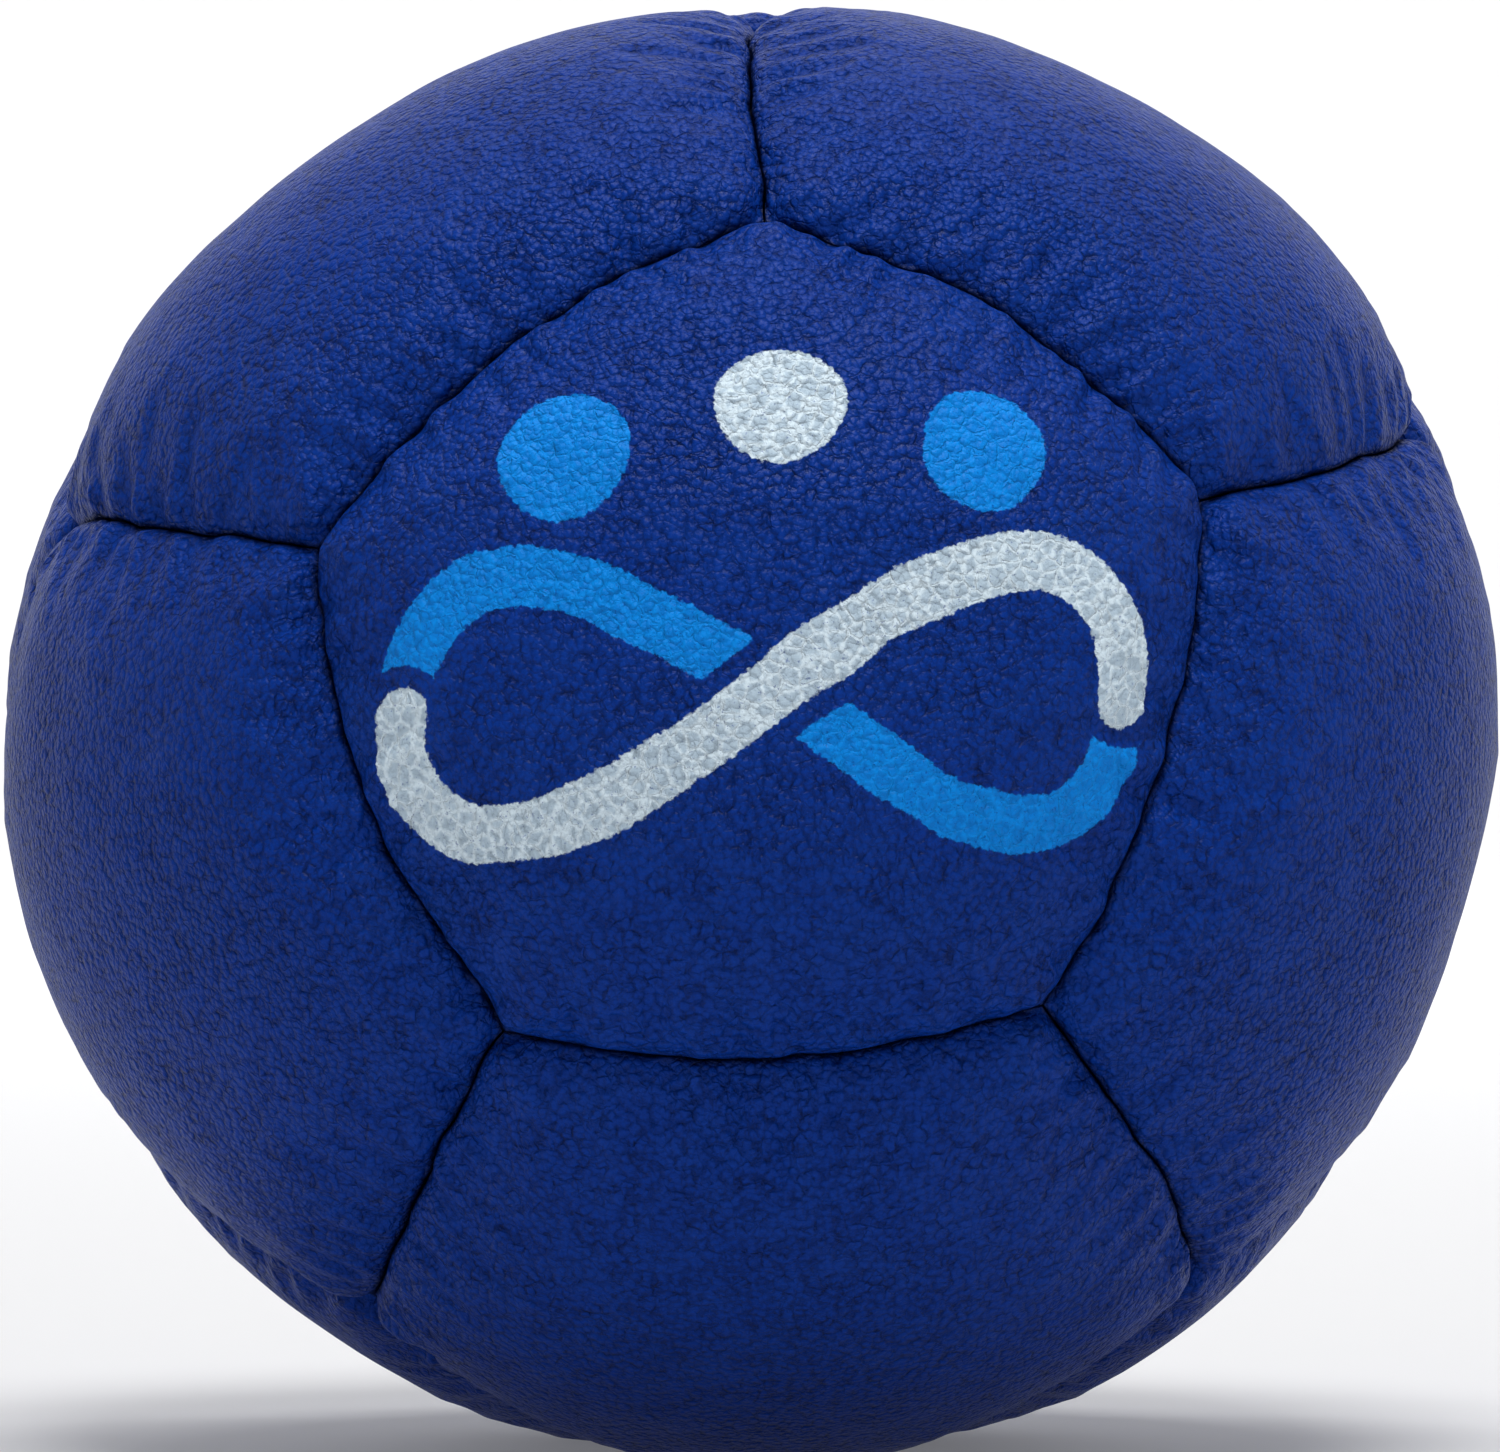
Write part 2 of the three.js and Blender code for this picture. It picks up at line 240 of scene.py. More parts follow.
leather = {
    "thickness": 1.2,
    "crown": 1.7,  # rise of a panel's middle above the rim of its fold
    "fullness": 0.42,  # below 1 the panel swells out close to its seams
    "crownSpread": 0.25,  # how unlike the panels' crowns are
    "foldWidth": 0.95,
    "foldDepth": 0.60,
    "foldUnlike": 0.45,  # how much the fold's depth comes and goes
    "foldUnlikeLength": 5.0,
    "grooveShare": 0.6,  # of the fold's depth, where the grooves mostly lie
    "cornerEase": 0.5,  # how roundly a panel's corners sink
    "halfGap": 0.05,  # between a seam's middle and each turned-in strip
    "allowance": 3.0,  # breadth of the turned-in strips
    "pucker": 0.21,  # height of the gathers beside a seam
    "puckerReach": 1.7,
    "puckerLengths": (1.2, 3.2),
    "puckerWaves": 8,
    "puckerSlant": 0.6,  # how far a gather may slant from square to its seam
    "puckerUnlikeLength": 7.0,
    "stitchDent": 0.16,
    "stitchPitch": 3.6,
    "sag": 0.16,  # slow rise and fall of the skin
    "sagLength": 11.0,
    "crease": 0.035,
    "creaseLength": 2.3,
    "stripRings": (0.3, 0.65, 1.0),  # down the turned-in strip, as shares of its breadth
    "backRings": (0.0, 0.5),  # up its back
    "underRings": (0.35, 0.6, 0.85),  # in under the skin, from the seam to the middle
    "underEase": 1.0,  # from the strip's back to the first ring under the skin
    "steps": 80,  # along half a side
}

foldWidth = leather["foldWidth"]
foldDepth = leather["foldDepth"]
grooveRadius = crownRadius - leather["crown"] - foldDepth * leather["grooveShare"]
stripEnd = grooveRadius - leather["allowance"]


def roundOf(middle):
    # the five corners nearest a panel's middle, counter-clockwise seen from outside
    near = corners[corners @ middle > ownCornerCosine]
    right = unit(near[0] - middle * (near[0] @ middle))
    up = np.cross(middle, right)
    return near[np.argsort(np.arctan2(near @ up, near @ right))]


def neighboursOf(middle):
    # the middles of the five panels that share a seam with this one
    alike = middles @ middle
    return middles[(alike > neighbourCosines[0]) & (alike < neighbourCosines[1])]


def kiteGrid(steps):
    # a flat regular pentagon with corners one away from its middle, as five kites of squares, each
    # blended from the middle, two side middles and a corner; points met twice are joined, and the
    # kites' own order of the joined points is given back too
    turn = np.arange(5) * 2 * np.pi / 5
    tips = np.stack([np.cos(turn), np.sin(turn)], axis=-1)
    sides = (tips + np.roll(tips, -1, axis=0)) / 2
    a, b = np.meshgrid(np.linspace(0, 1, steps + 1), np.linspace(0, 1, steps + 1), indexing="ij")
    a, b = a[..., None], b[..., None]
    grids = [
        a * (1 - b) * sides[number - 1] + a * b * tips[number] + (1 - a) * b * sides[number]
        for number in range(5)
    ]
    points = np.concatenate([grid.reshape(-1, 2) for grid in grids])
    index = np.arange(len(points)).reshape(5, steps + 1, steps + 1)
    quads = np.stack(
        [index[:, :-1, :-1], index[:, 1:, :-1], index[:, 1:, 1:], index[:, :-1, 1:]], axis=-1
    ).reshape(-1, 4)
    joined, first, back = np.unique(
        np.round(points, 7) + 0.0, axis=0, return_index=True, return_inverse=True
    )
    back = back.reshape(-1)
    return points[first], back[quads], sides, back.reshape(5, steps + 1, steps + 1)


def seamShares(flat, sides):
    # 0 in the middle of the flat pentagon and 1 on its outline, and the outline's point straight out
    apothem = np.linalg.norm(sides[0])
    share = np.max(flat @ unit(sides).T, axis=-1) / apothem
    outline = np.where(share[:, None] > 1e-9, flat / np.maximum(share, 1e-9)[:, None], sides[0])
    return share, outline


def edgeSpace(middle, tips, outline):
    # the flat outline's points on the chords between the panel's corners on the unit ball
    tipTurn = np.arange(5) * 2 * np.pi / 5
    flatTips = np.stack([np.cos(tipTurn), np.sin(tipTurn)], axis=-1)
    centre = middle * flatMiddle
    axes = np.linalg.lstsq(flatTips, tips - centre, rcond=None)[0]
    return centre, outline @ axes + centre


def directionsAt(centre, edges, offset, radius):
    # the directions whose points at this radius lie offset from the seam's plane, closed in on
    share = np.ones(len(edges))
    for turn in range(12):
        point = centre + share[:, None] * (edges - centre)
        share = 1 - offset * np.linalg.norm(point, axis=-1) / (flatToSeam * radius)
    return unit(centre + np.maximum(share, 0.0)[:, None] * (edges - centre))


def rolledOffset(share):
    # distance from the seam's plane along the leather: a quarter turn down the fold, then level
    full = reach + (np.pi / 2 - 1) * foldWidth
    along = (1 - share) * full
    level = along - (np.pi / 2 - 1) * foldWidth
    rolled = foldWidth * (1 - np.cos(np.minimum(along / foldWidth, np.pi / 2)))
    width = np.where(along < np.pi / 2 * foldWidth, rolled, level)
    return leather["halfGap"] + width * (reach - leather["halfGap"]) / reach


def crownOf(number):
    # one panel's crown, a little unlike the others
    random = np.random.default_rng(500 + number)
    return leather["crown"] + leather["crownSpread"] * random.uniform(-1, 1)


def plainRise(direction, number):
    # the bubble that five seams hold down: the product of the distances from their planes, each over
    # its greatest, to a power
    ways = unit(middles[number] - neighboursOf(middles[number]))
    offsets = np.maximum(direction @ ways.T * crownRadius, 0.0)
    return crownOf(number) * np.prod(offsets / reach, axis=-1) ** leather["fullness"]


def skinRadius(direction, number, rise=None):
    # the panel's outer radius: the rim and the rise above it, less the fold at the nearest seams, with
    # gathers and stitch dents beside each seam and slow unevenness; and the distance to the seams
    middle = middles[number]
    random = np.random.default_rng(700 + number)
    ways = unit(middle - neighboursOf(middle))
    offsets = np.maximum(direction @ ways.T * crownRadius, 0.0)
    radius = crownRadius - leather["crown"] + (plainRise(direction, number) if rise is None else rise)
    ease = leather["cornerEase"]
    nearest = -ease * np.log(np.sum(np.exp(-offsets / ease), axis=-1))
    inFold = np.clip(1 - nearest / foldWidth, 0.0, 1.0)
    where = direction * crownRadius
    ruffle = 0.0
    count = leather["puckerWaves"]
    slant = leather["puckerSlant"]
    for way in range(5):
        along = np.cross(ways[way], middle)
        travel = direction @ unit(along) * crownRadius
        fade = np.exp(-offsets[:, way] / leather["puckerReach"])
        lengths = random.uniform(*leather["puckerLengths"], size=count)
        phases = random.uniform(0, 2 * np.pi, size=count)
        slants = random.uniform(-slant, slant, size=count)
        waves = np.sin(
            2 * np.pi * (travel[:, None] + slants * offsets[:, way, None]) / lengths + phases
        ).sum(axis=-1) / np.sqrt(count)
        unlike = softNoise(where, leather["puckerUnlikeLength"], 900 + way)
        strength = leather["pucker"] * (0.75 + 0.5 * unlike)
        dent = leather["stitchDent"] * np.cos(2 * np.pi * travel / leather["stitchPitch"])
        ruffle = ruffle + fade * (strength * waves + dent)
    quiet = 1 - inFold ** 4
    radius = radius + ruffle * quiet
    radius = radius + leather["sag"] * softNoise(where, leather["sagLength"], 71)
    radius = radius + leather["crease"] * softNoise(where, leather["creaseLength"], 72) * quiet
    depth = foldDepth * (1 + leather["foldUnlike"] * softNoise(where, leather["foldUnlikeLength"], 88))
    return radius - depth * (1 - np.sqrt(1 - inFold ** 2)), np.min(offsets, axis=-1)


def blankGrid(number, steps):
    # one panel's kite grid as directions from the ball's centre, with all that places its outline
    middle = middles[number]
    flat, quads, sides, kites = kiteGrid(steps)
    share, outline = seamShares(flat, sides)
    centre, edges = edgeSpace(middle, roundOf(middle), outline)
    direction = directionsAt(centre, edges, rolledOffset(share), crownRadius - leather["crown"])
    direction[share < 1e-9] = middle
    return flat, quads, kites, share, centre, edges, direction


cloth = {
    "steps": 20,  # along half a side
    "scale": 10.0,  # the simulation's size over the real one
    "start": 0.55,  # rise of the blank before it swells, as a share of the finished rise
    "pressure": 8.0,
    "spare": 0.04,  # leather cut larger than its place, which gathers at the seams
    "stiffness": 15.0,
    "bending": 0.4,
    "mass": 0.3,
    "quality": 6,
    "pinned": 1.2,  # rows of the blank that the seam holds
    "frames": 20,
    "leastRise": -0.3,
    "mostRise": 0.30,  # above the panel's crown
}


def swollenRise(number):
    # cloth simulation: the leather blank, pinned along its seams, swells under the filling's pressure;
    # what comes back is its rise above the rim on the kites' grid, scaled to the panel's crown
    flat, quads, kites, share, centre, edges, direction = blankGrid(number, cloth["steps"])
    rim = crownRadius - leather["crown"]
    rise = plainRise(direction, number) * cloth["start"]
    unlike = softNoise(direction * crownRadius, leather["creaseLength"], 300 + number)
    rise = rise + leather["crease"] * unlike * (1 - share)
    unitSize = millimetre * cloth["scale"]
    mesh = bpy.data.meshes.new("blank")
    mesh.from_pydata((direction * (rim + rise)[:, None] * unitSize).tolist(), [], quads.tolist())
    blank = bpy.data.objects.new("blank", mesh)
    bpy.context.scene.collection.objects.link(blank)
    seamGroup = blank.vertex_groups.new(name="seam")
    held = np.flatnonzero(share > 1 - cloth["pinned"] / cloth["steps"])
    seamGroup.add(held.tolist(), 1.0, "REPLACE")
    swelling = blank.modifiers.new("swelling", "CLOTH")
    settings = swelling.settings
    settings.quality = cloth["quality"]
    settings.mass = cloth["mass"]
    settings.tension_stiffness = cloth["stiffness"]
    settings.compression_stiffness = cloth["stiffness"]
    settings.bending_stiffness = cloth["bending"]
    settings.vertex_group_mass = "seam"
    settings.use_pressure = True
    settings.uniform_pressure_force = cloth["pressure"]
    settings.shrink_min = -cloth["spare"]
    settings.effector_weights.gravity = 0
    swelling.collision_settings.use_collision = False
    swelling.point_cache.frame_end = cloth["frames"]
    for frameNumber in range(1, cloth["frames"] + 1):
        bpy.context.scene.frame_set(frameNumber)
    swollen = blank.evaluated_get(bpy.context.evaluated_depsgraph_get()).to_mesh()
    place = np.empty(len(direction) * 3, dtype=np.float32)
    swollen.vertices.foreach_get("co", place)
    bpy.data.objects.remove(blank)
    bpy.data.meshes.remove(mesh)
    bpy.context.scene.frame_set(1)
    rise = np.linalg.norm(place.reshape(-1, 3) / unitSize, axis=-1) - rim
    rise = rise * crownOf(number) / rise[np.argmin(share)]
    return np.clip(rise, cloth["leastRise"], crownOf(number) + cloth["mostRise"])[kites]


def refined(grids, steps):
    # values on each kite's coarse grid carried to a finer one, by the cubic through four neighbours
    coarse = grids.shape[1] - 1
    place = np.linspace(0, coarse, steps + 1)
    cell = np.minimum(place.astype(int), coarse - 1)
    t = place - cell
    weights = np.zeros((steps + 1, coarse + 1))
    cubic = np.stack([
        -t / 2 + t ** 2 - t ** 3 / 2,
        1 - 2.5 * t ** 2 + 1.5 * t ** 3,
        t / 2 + 2 * t ** 2 - 1.5 * t ** 3,
        -t ** 2 / 2 + t ** 3 / 2,
    ])
    for neighbour in range(4):
        column = np.clip(cell + neighbour - 1, 0, coarse)
        np.add.at(weights, (np.arange(steps + 1), column), cubic[neighbour])
    return weights @ grids @ weights.T


def makePanel(number):
    # the outer skin on the kite grid, then rings round its outline: down the turned-in strip, over
    # its raw edge, up its back and in under the skin to a closing middle
    flat, quads, kites, share, centre, edges, direction = blankGrid(number, leather["steps"])
    rise = None
    rise = np.zeros(len(direction))
    rise[kites] = refined(swollenRise(number), leather["steps"])
    radius, seamDistance = skinRadius(direction, number, rise)
    skin = settle(direction * radius[:, None])

    rim = np.flatnonzero(share > 1 - 1e-7)
    rim = rim[np.argsort(np.arctan2(flat[rim, 1], flat[rim, 0]))]
    edge = edges[rim]
    groove = radius[rim]
    thickness = leather["thickness"]
    back = leather["halfGap"] + thickness
    rings = []
    for down in leather["stripRings"]:
        depth = groove + (stripEnd - groove) * down
        away = directionsAt(centre, edge, leather["halfGap"], depth)
        rings.append(settle(away * depth[:, None]))
    for up in leather["backRings"]:
        depth = stripEnd + (crownRadius - leather["crown"] - thickness - stripEnd) * up
        away = directionsAt(centre, edge, back, depth)
        rings.append(settle(away * depth, thickness))
    inward = [reach * ring for ring in leather["underRings"]]
    for offset in (back, back + leather["underEase"], *inward):
        away = directionsAt(centre, edge, offset, crownRadius - leather["crown"])
        under = skinRadius(away, number)[0] - thickness
        rings.append(settle(away * under[:, None], thickness))
    middle = middles[number][None, :]
    deepest = settle(middle * (skinRadius(middle, number)[0] - thickness), thickness)

    count = len(rim)
    rows = [rim] + [len(skin) + row * count + np.arange(count) for row in range(len(rings))]
    bands = [
        np.stack([upper, lower, np.roll(lower, -1), np.roll(upper, -1)], axis=-1)
        for upper, lower in zip(rows[:-1], rows[1:])
    ]
    last = len(skin) + len(rings) * count
    fan = np.stack([rows[-1], np.full(count, last), np.roll(rows[-1], -1)], axis=-1)
    points = np.concatenate([skin, *rings, deepest])
    marks = {"seamDistance": np.zeros(len(points))}
    marks["seamDistance"][: len(skin)] = seamDistance
    if panelNames[number] == "front":
        for mark, values in zip(("whiteMark", "cyanMark"), printMarks(direction)):
            marks[mark] = np.full(len(points), printed["bare"])
            marks[mark][: len(skin)] = values
    return makeMesh("leather_" + panelNames[number], points, [quads, *bands, fan], marks)


# The print on the front panel: a juggler's figure of eight in two colours below three balls

printed = {
    "halfWidth": 15.2,
    "halfHeight": 5.6,
    "stroke": 2.5,
    "under": 0.9,  # left bare beside the strand that passes over
    "ballRadius": 2.7,
    "balls": ((-8.6, 10.4, "cyan"), (0.0, 12.6, "white"), (8.6, 10.4, "cyan")),
    "place": (0.0, -2.6),  # of the crossing, right and up of the panel's middle
    "turn": 2.6,  # degrees clockwise, which levels the print on the rolled panel
    "pathSteps": 240,
    "bare": 9.0,  # the distance given to places without print
}


def nearestTo(points, path):
    # the distance from every point to the closest of the path's many points
    return np.min([np.hypot(*(points - spot).T) for spot in path], axis=0)


def printMarks(direction):
    # how far each place lies outside the white and the cyan shapes, less than nothing inside them:
    # a strand is the distance to its curve less half the stroke, a ball the distance to its middle
    # less its radius. The curve is a sine across and half of a doubled sine up.
    polar = np.arccos(np.clip(-direction[:, 1], -1, 1))
    clock = np.arctan2(direction[:, 0], direction[:, 2])
    turn = clock - np.radians(printed["turn"])
    flat = polar[:, None] * crownRadius * np.stack([np.sin(turn), np.cos(turn)], axis=-1)
    flat = flat - np.array(printed["place"])
    t = np.linspace(-np.pi / 2, np.pi / 2, printed["pathSteps"])
    wave = np.stack([printed["halfWidth"] * np.sin(t), printed["halfHeight"] * np.sin(2 * t)], axis=-1)
    white = nearestTo(flat, wave) - printed["stroke"] / 2
    cyan = nearestTo(flat, wave * np.array([1, -1])) - printed["stroke"] / 2
    cyan = np.maximum(cyan, printed["under"] - white)
    for right, up, colour in printed["balls"]:
        disc = np.hypot(*(flat - np.array([right, up])).T) - printed["ballRadius"]
        if colour == "white":
            white = np.minimum(white, disc)
        else:
            cyan = np.minimum(cyan, disc)
    return white, cyan


# The stitching

stitching = {
    "thread": 0.6,
    "clearance": 0.15,
    "pitch": 3.6,
    "cornerMargin": 2.2,
    "tail": 0.8,
    "plies": 2,
    "twist": 1.5,  # length of one turn of the plies
    "sharpness": 5.0,  # of each step through the leather
    "plySwell": 0.14,  # how far the plies' ridges stand out, as a share of the radius
    "around": 10,
    "waveSteps": 4000,
    "lengthSteps": 150,
    "fibre": 0.08,
    "fibreRise": 0.02,
    "dark": (0.002, 0.003, 0.012, 1),
    "light": (0.012, 0.018, 0.06, 1),
}


def sharedCorners(one, other):
    # the two corners that two neighbouring panels have in common
    ofOne = corners @ middles[one] > ownCornerCosine
    ofOther = corners @ middles[other] > ownCornerCosine
    return corners[ofOne & ofOther]


def threadPath(ends):
    # along the seam at an even pace, across it as a squared-off wave that changes side at each
    # needle hole; returns points spaced evenly along the thread and the way out at each
    thickness = leather["thickness"]
    stitchRadius = (crownRadius - leather["crown"] - thickness + stripEnd) / 2
    span = stitchRadius * 2 * np.arcsin(np.linalg.norm(ends[1] - ends[0]) / 2)
    holes = 1 + int((span - 2 * stitching["cornerMargin"]) // stitching["pitch"])
    half = (holes - 1) / 2 * stitching["pitch"]
    run = leather["halfGap"] + thickness + stitching["clearance"] + stitching["thread"] / 2
    x = np.linspace(-half - stitching["tail"], half + stitching["tail"], stitching["waveSteps"])
    phase = np.pi * (x + half) / stitching["pitch"]
    bend = stitching["sharpness"]
    y = -run * np.tanh(bend * np.sin(phase)) / np.tanh(bend)
    travel = np.concatenate([[0], np.cumsum(np.hypot(np.diff(x), np.diff(y)))])
    even = np.linspace(0, travel[-1], stitching["lengthSteps"] + 1)
    x, y = np.interp(even, travel, x), np.interp(even, travel, y)
    out = unit(ends[0] + ends[1])
    along = unit(ends[1] - ends[0])
    across = np.cross(out, along)
    angle = (x / stitchRadius)[:, None]
    outward = np.cos(angle) * out + np.sin(angle) * along
    return outward * stitchRadius + y[:, None] * across, outward, even


def makeThread(name, ends):
    # two plies twisted together: a round section whose radius swells twice in each turn, the turn
    # running on along the thread, carried on the path and closed to a point at both ends
    path, outward, length = threadPath(ends)
    forward = unit(np.gradient(path, axis=0))
    side = unit(np.cross(forward, outward))
    lift = np.cross(side, forward)
    around = np.arange(stitching["around"]) * 2 * np.pi / stitching["around"]
    swell = 1 - stitching["plySwell"] + stitching["plySwell"] * np.cos(
        stitching["plies"] * (around - 2 * np.pi * length[:, None] / stitching["twist"] / 2)
    )
    radius = stitching["thread"] / 2 * swell
    rings = path[:, None] + radius[..., None] * (
        np.cos(around)[:, None] * side[:, None] + np.sin(around)[:, None] * lift[:, None]
    )
    count = stitching["around"]
    index = np.arange(len(path) * count).reshape(len(path), count)
    beside = np.roll(index, -1, axis=1)
    quads = np.stack([index[:-1], beside[:-1], beside[1:], index[1:]], axis=-1).reshape(-1, 4)
    first, last = index.size, index.size + 1
    caps = np.concatenate([
        np.stack([beside[0], index[0], np.full(count, first)], axis=-1),
        np.stack([index[-1], beside[-1], np.full(count, last)], axis=-1),
    ])
    points = np.concatenate([rings.reshape(-1, 3), path[:1], path[-1:]])
    return makeMesh(name, settle(points), [quads, caps])


# The filling

filling = {
    "pelletRadius": 1.75,
    "pelletFlatness": 0.72,
    "unlike": 0.12,  # how much the pellets' sizes differ
    "spacing": 3.0,
    "clearance": 0.2,
    "nudge": 0.012,  # how far pellets stray from an even spread, on a ball one in radius
    "layers": 2,
    "layerDepth": 2.6,
    "topDepth": 4.0,  # from the crowns' sphere to the outermost layer
    "coreRadius": 25.6,
    "coreBumps": 0.9,
    "bumpSize": 2.4,
    "cloudSize": 2.6,  # over which the pellets' colour changes
    "unevenSize": 0.4,
    "unevenRise": 0.03,
    "warm": (0.62, 0.60, 0.52, 1),
    "pale": (0.84, 0.84, 0.81, 1),
}


def roundPoints(count, seed):
    # directions spread evenly by the golden angle down a spiral, each nudged a little
    random = np.random.default_rng(seed)
    step = np.arange(count) + 0.5
    up = 1 - 2 * step / count
    turn = step * np.pi * (3 - np.sqrt(5))
    out = np.sqrt(1 - up * up)
    points = np.stack([out * np.cos(turn), out * np.sin(turn), up], axis=-1)
    return unit(points + random.normal(0, filling["nudge"], points.shape))


def fillingRadius(direction):
    # how far out the pellets may reach: to the back of the leather, and beside a seam only to the
    # raw edges of the turned-in strips
    facing = np.argmax(direction @ middles.T, axis=-1)
    radius = np.zeros(len(direction))
    thickness = leather["thickness"]
    channel = leather["halfGap"] + thickness + stitching["thread"] + 2 * stitching["clearance"]
    for number in range(len(middles)):
        mine = facing == number
        if mine.any():
            skinOut, seam = skinRadius(direction[mine], number)
            room = skinOut - thickness - filling["clearance"]
            under = stripEnd - filling["clearance"]
            radius[mine] = np.where(seam < channel + filling["pelletRadius"], under, room)
    return radius


def smallBall(subdivisions):
    # the points and triangles of an icosphere one in radius
    shape = bmesh.new()
    bmesh.ops.create_icosphere(shape, subdivisions=subdivisions, radius=1.0)
    points = np.array([v.co[:] for v in shape.verts])
    faces = np.array([[v.index for v in f.verts] for f in shape.faces])
    shape.free()
    return points, faces


def spunFrames(count, random):
    # an upright set of three axes for each pellet, turned every way by a random quaternion
    w, x, y, z = unit(random.normal(size=(count, 4))).T
    return np.stack([
        np.stack([1 - 2 * (y * y + z * z), 2 * (x * y - z * w), 2 * (x * z + y * w)], axis=-1),
        np.stack([2 * (x * y + z * w), 1 - 2 * (x * x + z * z), 2 * (y * z - x * w)], axis=-1),
        np.stack([2 * (x * z - y * w), 2 * (y * z + x * w), 1 - 2 * (x * x + y * y)], axis=-1),
    ], axis=-2)


def makeFilling():
    # a core with the humps of packed pellets, and layers of single flattened pellets over it
    ballPoints, ballFaces = smallBall(2)
    corePoints, coreFaces = smallBall(5)
    rough = softNoise(corePoints * filling["coreRadius"], filling["bumpSize"], 77)
    core = corePoints * (filling["coreRadius"] + filling["coreBumps"] * rough)[:, None]
    settled = [settle(core, leather["thickness"])]
    triangles = [coreFaces]
    start = len(core)
    for layer in range(filling["layers"]):
        random = np.random.default_rng(40 + layer)
        deep = layer * filling["layerDepth"]
        shell = crownRadius - filling["topDepth"] - deep
        count = int(4 * np.pi * shell ** 2 / filling["spacing"] ** 2)
        direction = roundPoints(count, 60 + layer)
        size = filling["pelletRadius"] * (1 + filling["unlike"] * random.uniform(-1, 1, count))
        centre = direction * (fillingRadius(direction) - size - deep)[:, None]
        centre = settle(centre, leather["thickness"] + filling["pelletRadius"])
        flattening = np.array([1.0, 1.0, filling["pelletFlatness"]])
        shape = ballPoints * flattening
        spun = np.einsum("nij,pj->npi", spunFrames(count, random), shape)
        settled.append((centre[:, None] + spun * size[:, None, None]).reshape(-1, 3))
        firsts = start + len(shape) * np.arange(count)
        triangles.append((ballFaces[None] + firsts[:, None, None]).reshape(-1, 3))
        start += count * len(shape)
    return makeMesh("packed_pellets", np.concatenate(settled), [np.concatenate(triangles)])


# The finishes

def wire(tree, kind, inputs=None, **settings):
    # one shader node with its settings, its inputs given as values or as other nodes' sockets
    made = tree.nodes.new(kind)
    for name, value in settings.items():
        setattr(made, name, value)
    for name, value in (inputs or {}).items():
        if isinstance(value, bpy.types.NodeSocket):
            tree.links.new(value, made.inputs[name])
        else:
            made.inputs[name].default_value = value
    return made


def math(tree, operation, first, second, clamp=False):
    # one sum, product or difference of two values
    inputs = {0: first, 1: second}
    return wire(tree, "ShaderNodeMath", inputs, operation=operation, use_clamp=clamp).outputs[0]


def ramp(tree, value, fromLow, fromHigh, toLow=0.0, toHigh=1.0):
    # a value carried smoothly from one span onto another, held at both ends
    inputs = {
        "Value": value, "From Min": fromLow, "From Max": fromHigh, "To Min": toLow, "To Max": toHigh,
    }
    return wire(tree, "ShaderNodeMapRange", inputs, interpolation_type="SMOOTHSTEP").outputs["Result"]


def blendColour(tree, share, first, second):
    # from the first colour to the second by share
    mix = wire(tree, "ShaderNodeMix", data_type="RGBA")
    for socket, value in ((mix.inputs[0], share), (mix.inputs[6], first), (mix.inputs[7], second)):
        if isinstance(value, bpy.types.NodeSocket):
            tree.links.new(value, socket)
        else:
            socket.default_value = value
    return mix.outputs[2]


def noise(tree, where, size, detail=2.0):
    # noise from 0 to 1 whose humps are this many millimetres apart
    inputs = {"Vector": where, "Scale": 1 / (size * millimetre), "Detail": detail}
    return wire(tree, "ShaderNodeTexNoise", inputs).outputs["Fac"]


def newMaterial(name, **values):
    # a material and its surface shader, with the values that are the same all over
    material = bpy.data.materials.new(name)
    material.use_nodes = True
    surface = material.node_tree.nodes["Principled BSDF"]
    for socket, value in values.items():
        surface.inputs[socket.replace("_", " ")].default_value = value
    return material, material.node_tree, surface


grain = {
    "pebble": 0.33,  # across one pebble of the grain
    "stray": 0.15,  # how far the pebbles' outlines stray
    "pebbleRise": 0.21,
    "creaseCell": 0.66,  # between the deeper creases
    "creaseBreadth": 0.11,
    "creaseDepth": 0.055,
    "creaseShow": (0.36, 0.62),  # the span of noise over which creases come
    # painted shade in the creases
    "creaseShade": 0.42,
    "fine": 0.12,
    "fineRise": 0.030,
    "slow": 1.7,
    "slowRise": 0.10,
    "patch": 8.0,  # over which the pebbles grow flatter and fuller
    "flattest": 0.65,
    "between": 0.45,  # painted shade between the pebbles
    "mottle": 0.25,
    "wornShare": 0.2,
    "roughness": (0.34, 0.5),
    "top": (0.0012, 0.037, 0.300, 1),
    # colour of the painted shade in the hollows and creases, also reached by the fine random mottle
    "paintedShadeAndMottle": (0.0002, 0.0120, 0.100, 1),
    "worn": (0.0060, 0.056, 0.370, 1),
    "seamShade": 0.30,  # breadth of the painted shade in the groove beside a seam
    # how dark the painted seam shade grows, and its colour
    "seamShadeDepth": 0.85,
    "seamShadeColour": (0.0004, 0.001, 0.006, 1),
    "white": (0.49, 0.62, 0.73, 1),
    "whiteValley": (0.74, 0.88, 0.97, 1),
    "cyan": (0.0015, 0.22, 0.74, 1),
    "cyanValley": (0.0015, 0.27, 0.86, 1),
    "inkEdge": 0.05,
    "inkStray": 0.20,
    "inkStraySize": 0.25,
    "inkPins": 0.5,  # how much of the leather shows in the pores of the print
    "inkMatt": 0.1,  # added to the roughness
}


def product(tree, first, second):
    # first times second
    return math(tree, "MULTIPLY", first, second)


def total(tree, first, *others):
    # all of them added up
    for other in others:
        first = math(tree, "ADD", first, other)
    return first


